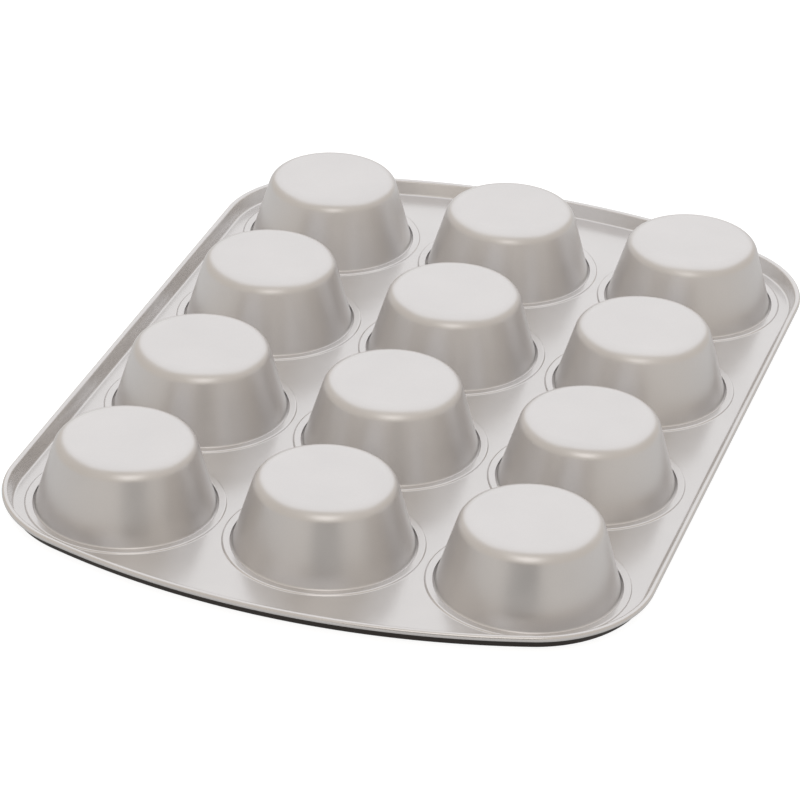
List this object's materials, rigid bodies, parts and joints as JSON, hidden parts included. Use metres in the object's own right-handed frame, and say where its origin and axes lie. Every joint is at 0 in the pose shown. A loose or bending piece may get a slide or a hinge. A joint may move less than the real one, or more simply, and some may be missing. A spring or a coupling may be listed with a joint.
{
  "type": "muffin pan",
  "caption": "Muffin pan: flat coated-steel sheet with a low flared wall and rolled bead, carrying tapered round baking cups seated in rows and columns.",
  "frame": {"origin": "middle of the pan on the plane of its food side, which is the bottom of the pan as it lies mouth down", "axes": "+X across the three columns of cups, +Y along the four rows, +Z out of the closed ends of the cups; the mouths and the food side face -Z"},
  "size_m": [0.2554, 0.3644, 0.0295],
  "materials": {
    "pan_frame": "satin champagne-silver coat on the outside, dark nonstick coat on the food side",
    "cups": "satin champagne-silver coat on the outside, dark nonstick coat on the inside",
    "rim_wire": "bare drawn wire"
  },
  "bodies": {
    "root": {"pan_frame": "pan_frame", "rim_wire": "rim_wire", "cup_row1_column1": "cups", "cup_row1_column2": "cups", "cup_row1_column3": "cups", "cup_row2_column1": "cups", "cup_row2_column2": "cups", "cup_row2_column3": "cups", "cup_row3_column1": "cups", "cup_row3_column2": "cups", "cup_row3_column3": "cups", "cup_row4_column1": "cups", "cup_row4_column2": "cups", "cup_row4_column3": "cups"}
  },
  "joints": []
}
